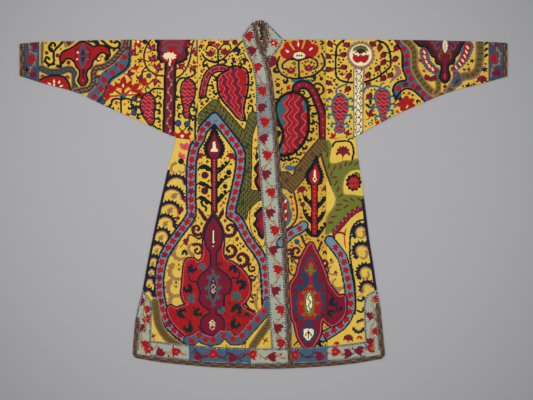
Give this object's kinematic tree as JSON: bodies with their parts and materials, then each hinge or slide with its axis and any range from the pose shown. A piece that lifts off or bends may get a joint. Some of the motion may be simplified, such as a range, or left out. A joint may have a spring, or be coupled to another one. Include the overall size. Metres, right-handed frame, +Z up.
{
  "type": "uzbek chapan robe",
  "caption": "Long Central Asian open-front robe in embroidered yellow cloth with pale borders and woven braid edges, laid flat with its left front over its right.",
  "frame": {"origin": "middle of the underside of the laid-out robe, on the surface it lies on", "axes": "+X along the sleeves, to the right of the robe as it is looked down on; +Y from hem to collar; +Z up, out of the surface it lies on"},
  "size_m": [1.755, 1.2537, 0.0073],
  "materials": {
    "embroidered_cloth": "close silk cross-stitch on cotton, soft sheen",
    "border_pale": "close silk cross-stitch on cotton, soft sheen",
    "border_blue": "close silk cross-stitch on cotton, soft sheen",
    "woven_braid": "ribbed woven braid, matt"
  },
  "bodies": {
    "root": {"back_panel": "embroidered_cloth", "gore_back_left": "embroidered_cloth", "gore_back_right": "embroidered_cloth", "front_panel_left": "embroidered_cloth", "front_panel_right": "embroidered_cloth", "gore_front_left": "embroidered_cloth", "gore_front_right": "embroidered_cloth", "sleeve_left": "embroidered_cloth", "sleeve_right": "embroidered_cloth", "cuff_band_left": "border_blue", "cuff_band_right": "border_blue", "cuff_trim_left": "woven_braid", "cuff_trim_right": "woven_braid", "band_left": "border_pale", "band_right": "border_pale", "band_neck_back": "border_pale", "trim_left": "woven_braid", "trim_right": "woven_braid", "hem_band_left": "border_pale", "hem_band_right": "border_pale", "hem_band_back": "border_pale", "hem_trim_left": "woven_braid", "hem_trim_right": "woven_braid", "hem_trim_back": "woven_braid", "vent_band_left": "border_pale", "vent_band_right": "border_pale", "vent_trim_left": "woven_braid", "vent_trim_right": "woven_braid"}
  },
  "joints": []
}
